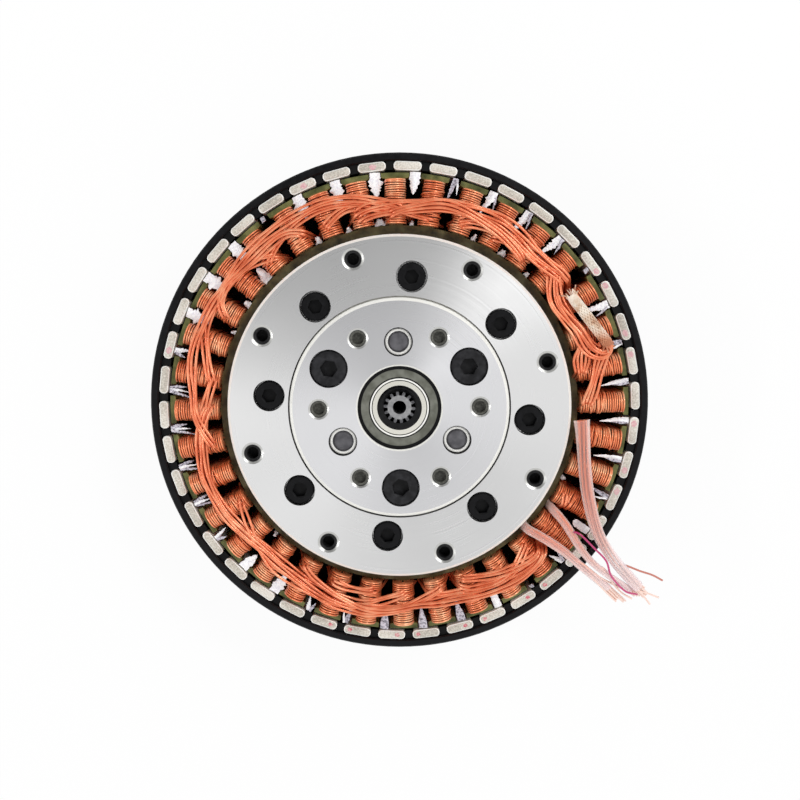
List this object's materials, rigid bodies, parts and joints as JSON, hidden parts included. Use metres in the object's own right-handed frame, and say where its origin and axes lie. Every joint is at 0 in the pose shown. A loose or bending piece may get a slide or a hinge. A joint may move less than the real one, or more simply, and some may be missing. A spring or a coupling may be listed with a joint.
{
  "type": "gear motor",
  "caption": "Open outer-rotor brushless motor with a planetary gearbox inside its stator, a flat output flange and short bare phase leads.",
  "frame": {"origin": "on the motor's axis, in the plane of the rotor bell's flat back", "axes": "+Z along the axis and out of the output face; +X is the picture's right and +Y its up, and the three leads leave towards +X and -Y"},
  "size_m": [0.0985, 0.097, 0.0294],
  "materials": {
    "bell_aluminium": "black anodised, turned",
    "ring_steel": "black oxide, satin",
    "magnet": "nickel-plated sintered magnet, ground ends",
    "magnet_strip": "black moulded plastic",
    "gear_steel": "hobbed steel, oiled",
    "black_screw": "black oxide",
    "black_steel": "black oxide, ground",
    "race_steel": "ground bearing steel",
    "ball_steel": "polished",
    "shield_steel": "pressed sheet steel, matt",
    "spring_steel": "ground",
    "housing_aluminium": "turned",
    "cover_aluminium": "fine turned face",
    "flange_aluminium": "fine turned face",
    "carrier_steel": "milled",
    "lamination": "olive epoxy powder coat over laminated steel",
    "copper_wire": "enamelled copper wire",
    "slot_paper": "glossy insulating paper",
    "braided_sleeve": "braided glass fibre",
    "lead_sleeve": "clear pinkish sleeve over copper strands",
    "bronze": "sintered bronze and pressed brass"
  },
  "bodies": {
    "stator": {"gear_housing": "housing_aluminium", "stator_core": "lamination", "coils_a": "copper_wire", "coils_b": "copper_wire", "coils_c": "copper_wire", "slot_wedges": "slot_paper", "phase_link_a": "copper_wire", "phase_link_b": "copper_wire", "phase_link_c": "copper_wire", "star_point_sleeve": "braided_sleeve", "lead_a": "lead_sleeve", "lead_b": "lead_sleeve", "lead_c": "lead_sleeve", "ring_gear": "gear_steel", "front_cover": "cover_aluminium", "cover_screws": "black_screw", "bearing_retainer": "spring_steel", "output_bearing_outer": "race_steel", "rotor_bearing_outer": "race_steel"},
    "rotor": {"rotor_bell": "bell_aluminium", "rotor_ring": "ring_steel", "magnets": "magnet", "magnet_holder": "magnet_strip", "sun_shaft": "gear_steel", "bell_screws": "black_screw", "support_sleeve": "black_steel", "rotor_bearing_inner": "race_steel", "centre_bearing_inner": "race_steel"},
    "output": {"output_flange": "flange_aluminium", "rear_carrier": "carrier_steel", "carrier_screws": "black_screw", "planet_pins": "spring_steel", "thrust_washers": "bronze", "output_bearing_inner": "race_steel", "centre_bearing_outer": "race_steel", "centre_bearing_shield": "shield_steel"},
    "planet_1": {"planet_gear_1": "gear_steel", "planet_bush_1": "bronze"},
    "planet_2": {"planet_gear_2": "gear_steel", "planet_bush_2": "bronze"},
    "planet_3": {"planet_gear_3": "gear_steel", "planet_bush_3": "bronze"},
    "output_ball_set": {"output_bearing_balls": "ball_steel", "output_bearing_cage": "bronze"},
    "rotor_ball_set": {"rotor_bearing_balls": "ball_steel", "rotor_bearing_cage": "bronze"},
    "centre_ball_set": {"centre_bearing_balls": "ball_steel", "centre_bearing_cage": "bronze"}
  },
  "joints": [
    {"name": "rotor_spin", "type": "hinge", "parent": "stator", "child": "rotor", "pos_m": [0, 0, 0], "axis": [0, 0, 1], "continuous": true},
    {"name": "output_spin", "type": "hinge", "parent": "stator", "child": "output", "pos_m": [0, 0, 0.02], "axis": [0, 0, 1], "continuous": true},
    {"name": "planet_1_spin", "type": "hinge", "parent": "output", "child": "planet_1", "pos_m": [-0.0002, 0.0126, 0.0147], "axis": [0, 0, 1], "continuous": true},
    {"name": "planet_2_spin", "type": "hinge", "parent": "output", "child": "planet_2", "pos_m": [-0.01081, -0.00647, 0.0147], "axis": [0, 0, 1], "continuous": true},
    {"name": "planet_3_spin", "type": "hinge", "parent": "output", "child": "planet_3", "pos_m": [0.01101, -0.00613, 0.0147], "axis": [0, 0, 1], "continuous": true},
    {"name": "output_balls_roll", "type": "hinge", "parent": "stator", "child": "output_ball_set", "pos_m": [0, 0, 0.0214], "axis": [0, 0, 1], "continuous": true},
    {"name": "rotor_balls_roll", "type": "hinge", "parent": "stator", "child": "rotor_ball_set", "pos_m": [0, 0, 0.006], "axis": [0, 0, 1], "continuous": true},
    {"name": "centre_balls_roll", "type": "hinge", "parent": "output", "child": "centre_ball_set", "pos_m": [0, 0, 0.0254], "axis": [0, 0, 1], "continuous": true}
  ],
  "couplings": [
    {"joint": "output_spin", "follows": "rotor_spin", "ratio": 0.11111},
    {"joint": "planet_1_spin", "follows": "rotor_spin", "ratio": -0.25397},
    {"joint": "planet_2_spin", "follows": "rotor_spin", "ratio": -0.25397},
    {"joint": "planet_3_spin", "follows": "rotor_spin", "ratio": -0.25397},
    {"joint": "output_balls_roll", "follows": "rotor_spin", "ratio": 0.052949},
    {"joint": "rotor_balls_roll", "follows": "rotor_spin", "ratio": 0.4504},
    {"joint": "centre_balls_roll", "follows": "rotor_spin", "ratio": 0.36296}
  ]
}
